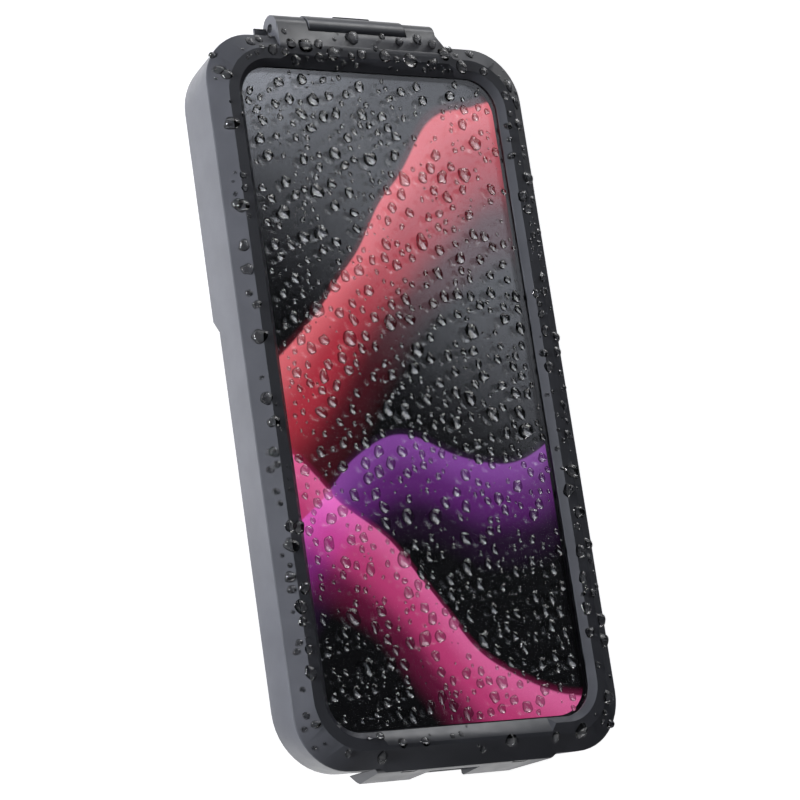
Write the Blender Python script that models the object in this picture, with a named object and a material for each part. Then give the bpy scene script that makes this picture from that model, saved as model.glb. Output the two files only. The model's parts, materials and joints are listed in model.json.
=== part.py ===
"""Universal phone case with a hinged cover, a lever latch and a handset in its bay.

The case lies on its back: +Z comes out of the window, +Y points to the hinge, X is the width.
Shapes are drawn in window coordinates, whose origin is the centre of the window at the height
of the cover's front flat. The empty window_centre carries them to the part's own origin, which
is the middle of the case's footprint on the surface it lies on.
"""

from math import acos, atan2, cos, degrees, pi, radians, sin, tan

import bmesh
import bpy
from mathutils import Vector

MM = 0.001

# Window and cover, measured across the cover's frame from the window outwards
WINDOW_W = 71.0 * MM
WINDOW_L = 156.5 * MM
WINDOW_R = 8.0 * MM
INNER_BEVEL_W = 1.5 * MM
INNER_BEVEL_D = 1.44 * MM
FRONT_FLAT_W = 2.7 * MM
OUTER_BEVEL_W = 3.9 * MM
OUTER_BEVEL_D = 2.7 * MM
COVER_CORNER_R = 13.0 * MM
LEDGE_T = 0.36 * MM

# Window film and the ring that holds it under the ledge
FILM_T = 0.3 * MM
FILM_LAP = 2.6 * MM
RETAINER_T = 0.8 * MM
RETAINER_LIP = 0.3 * MM

# Clearances
GLUE = 0.1 * MM
FIT_GAP = 0.3 * MM
RUN_GAP = 0.1 * MM

# How far a solid that is joined to another reaches into it, and how far a round face that
# lies along another's is sunk below it
BURY = 0.2 * MM
SINK = 0.02 * MM

# Handset that the bay is moulded for
DISPLAY_END_MARGIN = 0.6 * MM
BEZEL_SIDE = 3.55 * MM
BEZEL_END = 2.75 * MM
PHONE_T = 7.7 * MM
PHONE_EDGE_R = 2.4 * MM
PHONE_RIM = 1.1 * MM
PHONE_GLASS_T = 0.5 * MM
PHONE_DISPLAY_T = 0.3 * MM
ISLAND = 28.0 * MM
ISLAND_H = 2.0 * MM
ISLAND_R = 7.0 * MM
ISLAND_EDGE = 10.5 * MM
LENS_OFF = 6.4 * MM
LENS_R = 5.6 * MM
LENS_RIM_W = 1.2 * MM
LENS_RIM_SLOPE = 0.45 * MM
LENS_H = 0.5 * MM

# Rear shell
BAY_GAP_SIDE = 0.65 * MM
BAY_GAP_END = 0.8 * MM
FLOOR_T = 2.2 * MM
FLOOR_FILLET = 1.0 * MM
REAR_FILLET = 1.6 * MM
REAR_CORNER_R = 15.5 * MM
DRAFT = 0.7 * MM
PARTING_CHAMFER = 0.25 * MM
CAMERA_STEP = 2.3 * MM
CAMERA_STEP_MARGIN = 15.6 * MM
CAMERA_STEP_RAMP = 3.0 * MM
GROOVE_INSET = 0.7 * MM
GROOVE_W = 1.5 * MM
GROOVE_D = 1.6 * MM

# Foam pads
BACK_PAD_T = 1.5 * MM
PAD_MARGIN = 4.0 * MM
PAD_R = 8.0 * MM

# Camera window in the deep end of the shell
CAMERA_W = 58.0 * MM
CAMERA_L = 36.0 * MM
CAMERA_END_MARGIN = 6.25 * MM
CAMERA_R = 5.0 * MM
CAMERA_LAP = 1.8 * MM
CAMERA_PLATE_T = 1.0 * MM

# Quarter-turn socket on the back
SOCKET_R = 18.0 * MM
SOCKET_Y = -20.0 * MM
SOCKET_BORE_R = 7.5 * MM
SOCKET_NOTCH_R = 9.6 * MM
SOCKET_NOTCH_HALF_ANGLE = 28.0
SOCKET_CHAMBER_R = 10.2 * MM
SOCKET_LIP_T = 1.0 * MM
SOCKET_CHAMFER = 0.6 * MM
SCREW_CIRCLE_R = 14.0 * MM
SCREW_COUNT = 4
SCREW_R = 1.0 * MM
SCREW_HEAD_R = 1.9 * MM
SCREW_HEAD_H = 1.1 * MM
SCREW_L = 3.9 * MM
DRIVE_R = 0.7 * MM
DRIVE_D = 0.55 * MM

# Main hinge, its axis set from the outer wall and the parting plane
HINGE_OUT = 2.65 * MM
HINGE_DROP = 1.9 * MM
KNUCKLE_R = 3.2 * MM
MIDDLE_KNUCKLE_R = 3.55 * MM
HINGE_PIN_R = 1.0 * MM
HINGE_PIN_RECESS = 0.8 * MM
HINGE_LEFT_SETBACK = 0.9 * MM
HINGE_RIGHT_SETBACK = 4.1 * MM
LEFT_KNUCKLE_L = 8.7 * MM
RIGHT_KNUCKLE_L = 8.8 * MM
KNUCKLE_SIDE_GAP = 0.35 * MM
LEAF_INNER_SHIFT = 1.45 * MM
LEAF_FRONT_SHIFT = 0.95 * MM
LEAF_CORNER_GAP = 2.9 * MM
LEAF_SLANT = 2.4 * MM
LEAF_NOSE_R = 6.0 * MM
LEAF_WRAP = 10.0
HINGE_BASE_END = 3.7 * MM
HINGE_BASE_OUT = 2.85 * MM
HINGE_BASE_TOP = 1.0 * MM
HINGE_BASE_EDGE = 0.6 * MM
HINGE_BASE_H = 6.6 * MM
STOP_HALF = 5.0 * MM
STOP_OUT = 1.45 * MM
STOP_T = 0.9 * MM

# Latch block on the cover, and the lever under it
LATCH_CORNER_GAP = 4.0 * MM
LATCH_SLANT = 1.3 * MM
LATCH_INNER_SHIFT = 1.85 * MM
LATCH_OUTER_SHIFT = 0.95 * MM
LATCH_IN = 0.45 * MM
LATCH_DROP = 1.8 * MM
EYE_R = 1.35 * MM
LATCH_PIN_R = 0.5 * MM
EAR_X = 15.0 * MM
EAR_W = 3.2 * MM
EAR_LEAN = 0.45 * MM
LEVER_OVERHANG = 1.1 * MM
LEVER_SIDE_SLANT = 2.2 * MM
LEVER_L = 11.4 * MM
LEVER_PROUD = 1.85 * MM
LEVER_T = 2.1 * MM
LEVER_EDGE = 0.5 * MM
LEVER_CORNER_CUT = 7.0 * MM
NOTCH_LEFT = -5.9 * MM
NOTCH_RIGHT = 5.2 * MM
NOTCH_RAMP = 4.2 * MM
SILL_IN = 1.25 * MM
SILL_H = 1.0 * MM

# Steps per quarter turn of the round stretches
CORNER_STEPS = 12
FILLET_STEPS = 4
BARREL_STEPS = 8

# Steps per full turn of the turned pieces
SCREW_STEPS = 16
LENS_STEPS = 32
SOCKET_STEPS = 48

# The camera window's middle and the step before it, placed from the window's hinge end
CAMERA_Y = WINDOW_L / 2 - CAMERA_END_MARGIN - CAMERA_L / 2
CAMERA_STEP_Y = CAMERA_Y - CAMERA_L / 2 - CAMERA_STEP_MARGIN

# Outline of the cover
COVER_GROW = INNER_BEVEL_W + FRONT_FLAT_W + OUTER_BEVEL_W
OUTER_HALF_W = WINDOW_W / 2 + COVER_GROW
OUTER_HALF_L = WINDOW_L / 2 + COVER_GROW

# Hinge leaf and latch block, set back from the window's corners, and the pieces on them
LEAF_FOOT = WINDOW_W / 2 - WINDOW_R - LEAF_CORNER_GAP
LATCH_FOOT = WINDOW_W / 2 - WINDOW_R - LATCH_CORNER_GAP
LEVER_HALF = LATCH_FOOT + LEVER_OVERHANG
HINGE_LEFT = HINGE_LEFT_SETBACK - LEAF_FOOT
HINGE_RIGHT = LEAF_FOOT - HINGE_RIGHT_SETBACK
MIDDLE_LEFT = HINGE_LEFT + LEFT_KNUCKLE_L
MIDDLE_RIGHT = HINGE_RIGHT - RIGHT_KNUCKLE_L
HINGE_BASE_LEFT = HINGE_LEFT - HINGE_BASE_END
HINGE_BASE_RIGHT = HINGE_RIGHT + HINGE_BASE_END

# Handset and bay
DISPLAY_W = WINDOW_W
DISPLAY_L = WINDOW_L - 2 * DISPLAY_END_MARGIN
PHONE_W = DISPLAY_W + 2 * BEZEL_SIDE
PHONE_L = DISPLAY_L + 2 * BEZEL_END
PHONE_R = WINDOW_R + BEZEL_SIDE
BAY_HALF_W = PHONE_W / 2 + BAY_GAP_SIDE
BAY_HALF_L = PHONE_L / 2 + BAY_GAP_END
BAY_R = PHONE_R + BAY_GAP_SIDE

# Heights, down from the front flat
Z_PARTING = -OUTER_BEVEL_D
Z_RIM = Z_PARTING - FIT_GAP
Z_LEDGE = -(INNER_BEVEL_D + LEDGE_T)
Z_FILM = Z_LEDGE - GLUE
Z_RETAINER = Z_FILM - FILM_T - GLUE
Z_PHONE = Z_RETAINER - RETAINER_T - FIT_GAP
Z_PHONE_BACK = Z_PHONE - PHONE_T
Z_FLOOR = Z_PHONE_BACK - BACK_PAD_T - 2 * GLUE
Z_BACK = Z_FLOOR - FLOOR_T
Z_DEEP_FLOOR = Z_FLOOR - CAMERA_STEP
Z_DEEP_BACK = Z_BACK - CAMERA_STEP

# Axes
HINGE_Y = OUTER_HALF_L + HINGE_OUT
HINGE_Z = Z_PARTING - HINGE_DROP
LATCH_Y = -(OUTER_HALF_L - LATCH_IN)
LATCH_Z = Z_PARTING - LATCH_DROP
LEVER_FACE_Y = -(OUTER_HALF_L + LEVER_PROUD)
STOP_Y = HINGE_Y + KNUCKLE_R + STOP_OUT

# The part's origin lies under the middle of the footprint
CENTRE_Y = (STOP_Y + LEVER_FACE_Y) / 2


def clear_scene():
    """Empty the open scene without closing its file."""
    for obj in list(bpy.data.objects):
        bpy.data.objects.remove(obj, do_unlink=True)


def material(name, colour, roughness, metallic=0.0, alpha=1.0):
    """A Principled finish in one of the case's colours."""
    mat = bpy.data.materials.new(name)
    mat.use_nodes = True
    shader = mat.node_tree.nodes["Principled BSDF"]
    shader.inputs["Base Color"].default_value = (*colour, 1.0)
    shader.inputs["Roughness"].default_value = roughness
    shader.inputs["Metallic"].default_value = metallic
    shader.inputs["Alpha"].default_value = alpha
    return mat


def empty(name, at, parent=None):
    """A named frame that pieces hang from, at a point of the window's coordinates."""
    frame = bpy.data.objects.new(name, None)
    frame["at"] = at
    if parent is None:
        frame.location = (0.0, -CENTRE_Y, -Z_DEEP_BACK)
    else:
        frame.parent = parent
        frame.location = Vector(at) - Vector(parent["at"])
    bpy.context.scene.collection.objects.link(frame)
    return frame


def trim(body, planes):
    """Cut a mesh by (point, normal) planes and close it, keeping what lies behind each normal."""
    bm = bmesh.new()
    bm.from_mesh(body.data)
    for point, normal in planes:
        bmesh.ops.bisect_plane(
            bm,
            geom=bm.verts[:] + bm.edges[:] + bm.faces[:],
            plane_co=point,
            plane_no=normal,
            clear_outer=True,
        )
        bmesh.ops.holes_fill(bm, edges=bm.edges)
    bmesh.ops.recalc_face_normals(bm, faces=bm.faces)
    bm.to_mesh(body.data)
    bm.free()


def finish_mesh(bm, name, frame, finish=None, smooth_angle=35.0):
    """Make a bmesh, drawn in window coordinates, a named object that hangs from a frame."""
    bmesh.ops.recalc_face_normals(bm, faces=bm.faces)
    mesh = bpy.data.meshes.new(name)
    bm.to_mesh(mesh)
    bm.free()
    mesh.shade_smooth()
    mesh.set_sharp_from_angle(angle=radians(smooth_angle))
    obj = bpy.data.objects.new(name, mesh)
    bpy.context.scene.collection.objects.link(obj)
    obj.parent = frame
    obj.location = -Vector(frame["at"])
    if finish is not None:
        mesh.materials.append(finish)
    return obj


def shape_with(target, tool, operation):
    """Let one hidden solid cut or join another."""
    tool.hide_render = True
    tool.display_type = "WIRE"
    boolean = target.modifiers.new(tool.name, "BOOLEAN")
    boolean.operation = operation
    boolean.solver = "EXACT"
    boolean.object = tool


def cut(target, tool):
    shape_with(target, tool, "DIFFERENCE")


def join(target, tool):
    shape_with(target, tool, "UNION")


def rounded_loop(bm, half_w, half_l, radius, z, centre=(0.0, 0.0), top=None, bottom=None):
    """A rounded rectangle of vertices, with an optional block pushed out of its top or bottom side.

    A block is (left, right, slant, shift): it runs from left to right, each end slants over the
    given width, and its middle stands out by shift.
    """
    radius = min(radius, half_w, half_l)
    verts = []

    def add(x, y):
        verts.append(bm.verts.new((x + centre[0], y + centre[1], z)))

    def corner(sign_x, sign_y, start):
        for step in range(CORNER_STEPS + 1):
            angle = radians(start + 90.0 * step / CORNER_STEPS)
            x = sign_x * (half_w - radius) + radius * cos(angle)
            y = sign_y * (half_l - radius) + radius * sin(angle)
            add(x, y)

    def block(sign_y, side):
        left, right, slant, shift = side
        points = [(left, 0.0), (left + slant, shift), (right - slant, shift), (right, 0.0)]
        for x, out in points if sign_y < 0 else reversed(points):
            add(x, sign_y * (half_l + out))

    corner(1, 1, 0)
    if top is not None:
        block(1, top)
    corner(-1, 1, 90)
    corner(-1, -1, 180)
    if bottom is not None:
        block(-1, bottom)
    corner(1, -1, 270)
    return verts


def skin(bm, first, second):
    """Faces between two loops of the same count."""
    count = len(first)
    for i in range(count):
        j = (i + 1) % count
        bm.faces.new((first[i], first[j], second[j], second[i]))


def lofted_ring(bm, loops):
    """A closed frame: each loop skinned to the next, and the last to the first."""
    for i, loop in enumerate(loops):
        skin(bm, loop, loops[(i + 1) % len(loops)])


def lofted_slab(bm, loops):
    """A solid: each loop skinned to the next, with a face over the first and the last."""
    for first, second in zip(loops, loops[1:]):
        skin(bm, first, second)
    bm.faces.new(loops[0])
    bm.faces.new(loops[-1])


def plate(name, frame, size, z_span, radius, centre=(0.0, 0.0), finish=None):
    """A flat piece with a rounded outline, size (width, length), between two heights."""
    bm = bmesh.new()
    loops = [
        rounded_loop(bm, size[0] / 2, size[1] / 2, radius, z, centre) for z in z_span
    ]
    lofted_slab(bm, loops)
    return finish_mesh(bm, name, frame, finish)


def prism_x(name, frame, points, x_span, finish=None):
    """A profile of (y, z) points extruded along X."""
    bm = bmesh.new()
    face = bm.faces.new([bm.verts.new((x_span[0], y, z)) for y, z in points])
    grown = bmesh.ops.extrude_face_region(bm, geom=[face])
    moved = [item for item in grown["geom"] if isinstance(item, bmesh.types.BMVert)]
    bmesh.ops.translate(bm, vec=(x_span[1] - x_span[0], 0.0, 0.0), verts=moved)
    return finish_mesh(bm, name, frame, finish)


def arc(centre, radius, start, end, steps):
    """Points (y, z) of an arc, angles in degrees from +Y towards +Z, both ends included."""
    points = []
    for step in range(steps + 1):
        angle = radians(start + (end - start) * step / steps)
        points.append((centre[0] + radius * cos(angle), centre[1] + radius * sin(angle)))
    return points


def rod_x(name, frame, centre, radius, x_span, finish=None):
    """A round bar along X about a (y, z) centre."""
    steps = 4 * BARREL_STEPS
    points = arc(centre, radius, 0.0, 360.0 - 360.0 / steps, steps - 1)
    return prism_x(name, frame, points, x_span, finish)


def turned(name, frame, centre, profile, finish=None, steps=LENS_STEPS, ring=False):
    """A profile of (radius, z) points spun about Z: on the axis at both ends, or a closed ring."""
    bm = bmesh.new()
    verts = [bm.verts.new((centre[0] + r, centre[1], z)) for r, z in profile]
    ends = verts[1:] + verts[:1] if ring else verts[1:]
    edges = [bm.edges.new(pair) for pair in zip(verts, ends)]
    bmesh.ops.spin(
        bm,
        geom=verts + edges,
        cent=(centre[0], centre[1], 0.0),
        axis=(0.0, 0.0, 1.0),
        angle=2 * pi,
        steps=steps,
        use_merge=True,
    )
    bmesh.ops.remove_doubles(bm, verts=bm.verts, dist=0.001 * MM)
    return finish_mesh(bm, name, frame, finish)


def hinge_zone(shift):
    """The stretch of the cover's top side that the hinge leaf grows out of."""
    return (-LEAF_FOOT, LEAF_FOOT, LEAF_SLANT, shift)


def latch_zone(shift):
    """The raised block in the middle of the cover's bottom side."""
    return (-LATCH_FOOT, LATCH_FOOT, LATCH_SLANT, shift)


def cover_frame(frame, finish):
    """The moulded frame: a bevelled section round the window, hinge leaf, knuckles and ears."""
    nose_shift = leaf_line()[0] - (OUTER_HALF_L - OUTER_BEVEL_W) + BURY
    flat = INNER_BEVEL_W + FRONT_FLAT_W
    seat = FILM_LAP + FIT_GAP
    section = (
        (0.0, Z_LEDGE, WINDOW_R, 0.0, 0.0),
        (0.0, -INNER_BEVEL_D, WINDOW_R, 0.0, 0.0),
        (INNER_BEVEL_W, 0.0, WINDOW_R + INNER_BEVEL_W, LEAF_INNER_SHIFT, LATCH_INNER_SHIFT),
        (flat, 0.0, WINDOW_R + flat, nose_shift, 0.0),
        (COVER_GROW, Z_PARTING, COVER_CORNER_R, 0.0, LATCH_OUTER_SHIFT),
        (seat, Z_PARTING, WINDOW_R + seat, 0.0, 0.0),
        (seat, Z_LEDGE, WINDOW_R + seat, 0.0, 0.0),
    )
    bm = bmesh.new()
    loops = []
    for grow, z, radius, leaf_shift, latch_shift in section:
        loops.append(
            rounded_loop(
                bm,
                WINDOW_W / 2 + grow,
                WINDOW_L / 2 + grow,
                radius,
                z,
                top=hinge_zone(leaf_shift),
                bottom=latch_zone(latch_shift),
            )
        )
    lofted_ring(bm, loops)
    body = finish_mesh(bm, "cover_frame", frame, finish, smooth_angle=25.0)
    join(body, hinge_leaf(frame))
    barrel = (HINGE_LEFT, HINGE_RIGHT)
    join(body, rod_x("cover_barrel", frame, (HINGE_Y, HINGE_Z), KNUCKLE_R, barrel))
    room = rod_x(
        "middle_knuckle_room",
        frame,
        (HINGE_Y, HINGE_Z),
        MIDDLE_KNUCKLE_R + FIT_GAP,
        (MIDDLE_LEFT - KNUCKLE_SIDE_GAP, MIDDLE_RIGHT + KNUCKLE_SIDE_GAP),
    )
    cut(body, room)
    cut(body, hinge_bore("cover_pin_bore", frame))
    for side in (-1, 1):
        join(body, latch_ear(frame, side))
    cut(body, latch_bore("ear_pin_bore", frame))
    return body


def leaf_line():
    """Where the leaf's soft nose starts, how far it turns, and where the slope meets the barrel."""
    corner_y = OUTER_HALF_L - OUTER_BEVEL_W + LEAF_FRONT_SHIFT
    to_corner = Vector((corner_y - HINGE_Y, -HINGE_Z))
    touch = degrees(atan2(to_corner.y, to_corner.x) - acos(KNUCKLE_R / to_corner.length))
    turn = 90.0 - touch
    nose_y = corner_y - LEAF_NOSE_R * tan(radians(turn / 2))
    return nose_y, turn, touch


def hinge_leaf(frame):
    """The sloped leaf: from the front flat over a soft nose, then narrower onto the barrel."""
    nose_y, turn, touch = leaf_line()
    inner_y = OUTER_HALF_L - OUTER_BEVEL_W - FRONT_FLAT_W + LEAF_INNER_SHIFT
    start_y = (inner_y + nose_y) / 2
    root_y = HINGE_Y - KNUCKLE_R / 2
    low_z = Z_PARTING + BURY
    nose = arc((nose_y, -LEAF_NOSE_R), LEAF_NOSE_R, 90.0, 90.0 - turn, FILLET_STEPS)
    barrel = arc((HINGE_Y, HINGE_Z), KNUCKLE_R - SINK, touch, touch - LEAF_WRAP, 1)
    profile = [(start_y, low_z), (start_y, -BURY)] + nose + barrel
    profile += [(HINGE_Y, HINGE_Z), (root_y, HINGE_Z), (root_y, low_z)]
    leaf = prism_x("hinge_leaf", frame, profile, (-LEAF_FOOT, LEAF_FOOT))
    ends = []
    for side, end in ((-1, HINGE_LEFT), (1, HINGE_RIGHT)):
        foot = Vector((side * LEAF_FOOT, inner_y, 0.0))
        run = Vector((end - side * BURY, HINGE_Y, 0.0)) - foot
        ends.append((foot, Vector((run.y, -run.x, 0.0)) * side))
    trim(leaf, ends)
    return leaf


def hinge_bore(name, frame):
    """The bore for the hinge pin, through every knuckle."""
    return rod_x(
        name,
        frame,
        (HINGE_Y, HINGE_Z),
        HINGE_PIN_R + RUN_GAP,
        (HINGE_LEFT - KNUCKLE_R, HINGE_RIGHT + KNUCKLE_R),
    )


def latch_bore(name, frame):
    """The bore for the lever's pin."""
    reach = EAR_X + EAR_W
    return rod_x(name, frame, (LATCH_Y, LATCH_Z), LATCH_PIN_R + RUN_GAP, (-reach, reach))


def latch_ear(frame, side):
    """One of the two ears under the latch block that carry the lever's pin."""
    root_z = Z_PARTING + BURY
    profile = arc((LATCH_Y, LATCH_Z), EYE_R, 180.0, 360.0, 2 * BARREL_STEPS)
    profile += [(LATCH_Y + EYE_R, root_z), (LATCH_Y - EYE_R + EAR_LEAN, root_z)]
    middle = side * EAR_X
    name = "latch_ear_left" if side < 0 else "latch_ear_right"
    return prism_x(name, frame, profile, (middle - EAR_W / 2, middle + EAR_W / 2))


def prism_z(name, frame, points, z_span, finish=None):
    """A profile of (x, y) points extruded along Z."""
    bm = bmesh.new()
    face = bm.faces.new([bm.verts.new((x, y, z_span[0])) for x, y in points])
    grown = bmesh.ops.extrude_face_region(bm, geom=[face])
    moved = [item for item in grown["geom"] if isinstance(item, bmesh.types.BMVert)]
    bmesh.ops.translate(bm, vec=(0.0, 0.0, z_span[1] - z_span[0]), verts=moved)
    return finish_mesh(bm, name, frame, finish)


def back_shell(frame, finish):
    """The moulded tray: walls with draft, a seal groove in the rim, and a deep end for cameras."""
    bm = bmesh.new()
    loops = []

    def outer(inset, z, corner_r):
        half_w = OUTER_HALF_W - inset
        half_l = OUTER_HALF_L - inset
        loops.append(rounded_loop(bm, half_w, half_l, corner_r - inset, z))

    def bay(grow, z):
        loops.append(rounded_loop(bm, BAY_HALF_W + grow, BAY_HALF_L + grow, BAY_R + grow, z))

    for step in range(FILLET_STEPS, -1, -1):
        angle = radians(90.0 * step / FILLET_STEPS)
        inset = DRAFT + REAR_FILLET * (1 - cos(angle))
        outer(inset, Z_BACK + REAR_FILLET * (1 - sin(angle)), REAR_CORNER_R)
    outer(0.0, Z_RIM - PARTING_CHAMFER, COVER_CORNER_R)
    outer(PARTING_CHAMFER, Z_RIM, COVER_CORNER_R)
    bay(GROOVE_INSET + GROOVE_W, Z_RIM)
    bay(GROOVE_INSET + GROOVE_W, Z_RIM - GROOVE_D)
    bay(GROOVE_INSET, Z_RIM - GROOVE_D)
    bay(GROOVE_INSET, Z_RIM)
    bay(0.0, Z_RIM)
    for step in range(FILLET_STEPS + 1):
        angle = radians(90.0 * step / FILLET_STEPS)
        bay(FLOOR_FILLET * (cos(angle) - 1), Z_FLOOR + FLOOR_FILLET * (1 - sin(angle)))
    lofted_slab(bm, loops)
    deepen_camera_end(bm)
    body = finish_mesh(bm, "back_shell", frame, finish)
    join(body, hinge_base(frame))
    middle = (MIDDLE_LEFT, MIDDLE_RIGHT)
    join(body, rod_x("middle_knuckle", frame, (HINGE_Y, HINGE_Z), MIDDLE_KNUCKLE_R, middle))
    for tool in outer_knuckle_rooms(frame):
        cut(body, tool)
    join(body, opening_stop(frame))
    cut(body, hinge_bore("shell_pin_bore", frame))
    cut(body, latch_recess(frame))
    for tool in camera_opening(frame):
        cut(body, tool)
    for i in range(SCREW_COUNT):
        cut(body, screw_hole(frame, i))
    return body


def deepen_camera_end(bm):
    """Push floor and back outwards past the step, with a ramp across the walls."""
    for y in (CAMERA_STEP_Y - CAMERA_STEP_RAMP, CAMERA_STEP_Y):
        bmesh.ops.bisect_plane(
            bm,
            geom=bm.verts[:] + bm.edges[:] + bm.faces[:],
            plane_co=(0.0, y, 0.0),
            plane_no=(0.0, 1.0, 0.0),
        )
    tiny = 0.01 * MM
    for vert in bm.verts:
        if vert.co.y > CAMERA_STEP_Y - tiny and vert.co.z < Z_FLOOR + FLOOR_FILLET + tiny:
            vert.co.z -= CAMERA_STEP


def hinge_base(frame):
    """The thickened stretch of the top wall that carries the middle knuckle, undercut all round."""
    outer_y = OUTER_HALF_L + HINGE_BASE_OUT
    inner_y = OUTER_HALF_L - DRAFT - REAR_FILLET
    top_z = HINGE_Z - HINGE_BASE_TOP
    low_z = top_z - HINGE_BASE_H
    profile = (
        (inner_y, top_z),
        (outer_y, top_z),
        (outer_y, low_z),
        (OUTER_HALF_L - DRAFT, low_z - HINGE_BASE_OUT),
        (inner_y, low_z - HINGE_BASE_OUT),
    )
    base = prism_x("hinge_base", frame, profile, (HINGE_BASE_LEFT, HINGE_BASE_RIGHT))
    edge_z = top_z - HINGE_BASE_EDGE
    left = (Vector((HINGE_BASE_LEFT, 0.0, edge_z)), Vector((-1.0, 0.0, -1.0)))
    right = (Vector((HINGE_BASE_RIGHT, 0.0, edge_z)), Vector((1.0, 0.0, -1.0)))
    trim(base, (left, right))
    return base


def outer_knuckle_rooms(frame):
    """Running room in the shell round the cover's two knuckles."""
    rooms = (
        ("left_knuckle_room", (HINGE_LEFT - KNUCKLE_SIDE_GAP, MIDDLE_LEFT)),
        ("right_knuckle_room", (MIDDLE_RIGHT, HINGE_RIGHT + KNUCKLE_SIDE_GAP)),
    )
    centre = (HINGE_Y, HINGE_Z)
    return [rod_x(name, frame, centre, KNUCKLE_R + FIT_GAP, span) for name, span in rooms]


def opening_stop(frame):
    """The small lug behind the middle knuckle that the leaf meets when the cover is wide open."""
    top_z = HINGE_Z - HINGE_BASE_TOP
    profile = (
        (HINGE_Y + KNUCKLE_R / 2, top_z - STOP_T),
        (STOP_Y, top_z - STOP_T),
        (STOP_Y, top_z),
        (HINGE_Y + KNUCKLE_R / 2, top_z),
    )
    return prism_x("opening_stop", frame, profile, (-STOP_HALF, STOP_HALF))


def latch_recess(frame):
    """The pocket in the bottom wall where the lever lies, deeper round its eyes."""
    out_y = LEVER_FACE_Y - MM
    eye_y = LATCH_Y + EYE_R + FIT_GAP
    pad_y = LEVER_FACE_Y + LEVER_T + FIT_GAP
    eye_z = LATCH_Z - EYE_R
    profile = (
        (out_y, Z_PARTING),
        (eye_y, Z_PARTING),
        (eye_y, eye_z),
        (pad_y, eye_z - EYE_R),
        (pad_y, Z_BACK - MM),
        (out_y, Z_BACK - MM),
    )
    half = LEVER_HALF + FIT_GAP
    return prism_x("latch_recess", frame, profile, (-half, half))


def camera_opening(frame):
    """The hole for the camera and the rebate for its clear plate."""
    centre = (0.0, CAMERA_Y)
    rebate = (CAMERA_W + 2 * CAMERA_LAP, CAMERA_L + 2 * CAMERA_LAP)
    above = Z_DEEP_FLOOR + MM
    seat = Z_DEEP_FLOOR - CAMERA_PLATE_T - 2 * GLUE
    hole = plate(
        "camera_hole",
        frame,
        (CAMERA_W, CAMERA_L),
        (Z_DEEP_BACK - MM, above),
        CAMERA_R,
        centre,
    )
    pocket = plate(
        "camera_rebate",
        frame,
        rebate,
        (seat, above),
        CAMERA_R + CAMERA_LAP,
        centre,
    )
    return hole, pocket


def camera_window(frame, finish):
    """The clear plate over the camera opening, glued into its rebate from inside."""
    size = (CAMERA_W + 2 * (CAMERA_LAP - FIT_GAP), CAMERA_L + 2 * (CAMERA_LAP - FIT_GAP))
    top = Z_DEEP_FLOOR - GLUE
    return plate(
        "camera_window",
        frame,
        size,
        (top - CAMERA_PLATE_T, top),
        CAMERA_R + CAMERA_LAP - FIT_GAP,
        (0.0, CAMERA_Y),
        finish,
    )


def screw_centre(i):
    """Where screw i of the socket stands."""
    angle = 2 * pi * (i + 0.5) / SCREW_COUNT
    return (SCREW_CIRCLE_R * cos(angle), SOCKET_Y + SCREW_CIRCLE_R * sin(angle))


def screw_hole(frame, i):
    """The countersunk hole for socket screw i, from the floor into the socket."""
    head = SCREW_HEAD_R + RUN_GAP
    shank = SCREW_R + RUN_GAP
    profile = (
        (0.0, Z_FLOOR + MM),
        (head, Z_FLOOR + MM),
        (head, Z_FLOOR),
        (shank, Z_FLOOR - SCREW_HEAD_H),
        (shank, Z_FLOOR - SCREW_L - 2 * GLUE),
        (0.0, Z_FLOOR - SCREW_L - 2 * GLUE),
    )
    return turned(f"screw_hole_{i + 1}", frame, screw_centre(i), profile, steps=SCREW_STEPS)


def socket_screw(frame, i, finish):
    """A countersunk screw with a round drive recess, flush under the foam."""
    top = Z_FLOOR - GLUE
    profile = (
        (0.0, top - DRIVE_D),
        (DRIVE_R, top - DRIVE_D),
        (DRIVE_R, top),
        (SCREW_HEAD_R, top),
        (SCREW_R, top - SCREW_HEAD_H),
        (SCREW_R, top - SCREW_L),
        (0.0, top - SCREW_L),
    )
    name = f"socket_screw_{i + 1}"
    return turned(name, frame, screw_centre(i), profile, finish, steps=SCREW_STEPS)


def lock_socket(frame, finish):
    """The quarter-turn socket: a ring with an undercut chamber and two entry notches."""
    top = Z_BACK - GLUE
    low = Z_DEEP_BACK
    lip = low + SOCKET_LIP_T
    profile = (
        (SOCKET_BORE_R, low),
        (SOCKET_R - SOCKET_CHAMFER, low),
        (SOCKET_R, low + SOCKET_CHAMFER),
        (SOCKET_R, top),
        (SOCKET_CHAMBER_R, top),
        (SOCKET_CHAMBER_R, lip),
        (SOCKET_BORE_R, lip),
    )
    centre = (0.0, SOCKET_Y)
    body = turned("lock_socket", frame, centre, profile, finish, steps=SOCKET_STEPS, ring=True)
    for name, middle in (("notch_right", 0.0), ("notch_left", 180.0)):
        cut(body, socket_notch(frame, name, middle))
    for i in range(SCREW_COUNT):
        hole = screw_hole(frame, i)
        hole.name = f"socket_hole_{i + 1}"
        cut(body, hole)
    return body


def socket_notch(frame, name, middle):
    """A fan-shaped entry in the socket's lip."""
    half = SOCKET_NOTCH_HALF_ANGLE
    points = []
    for radius, start, end in (
        (SOCKET_NOTCH_R, middle - half, middle + half),
        (SOCKET_BORE_R / 2, middle + half, middle - half),
    ):
        for x, y in arc((0.0, SOCKET_Y), radius, start, end, BARREL_STEPS):
            points.append((x, y))
    return prism_z(name, frame, points, (Z_DEEP_BACK - MM, Z_DEEP_BACK + SOCKET_LIP_T + GLUE))


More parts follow.
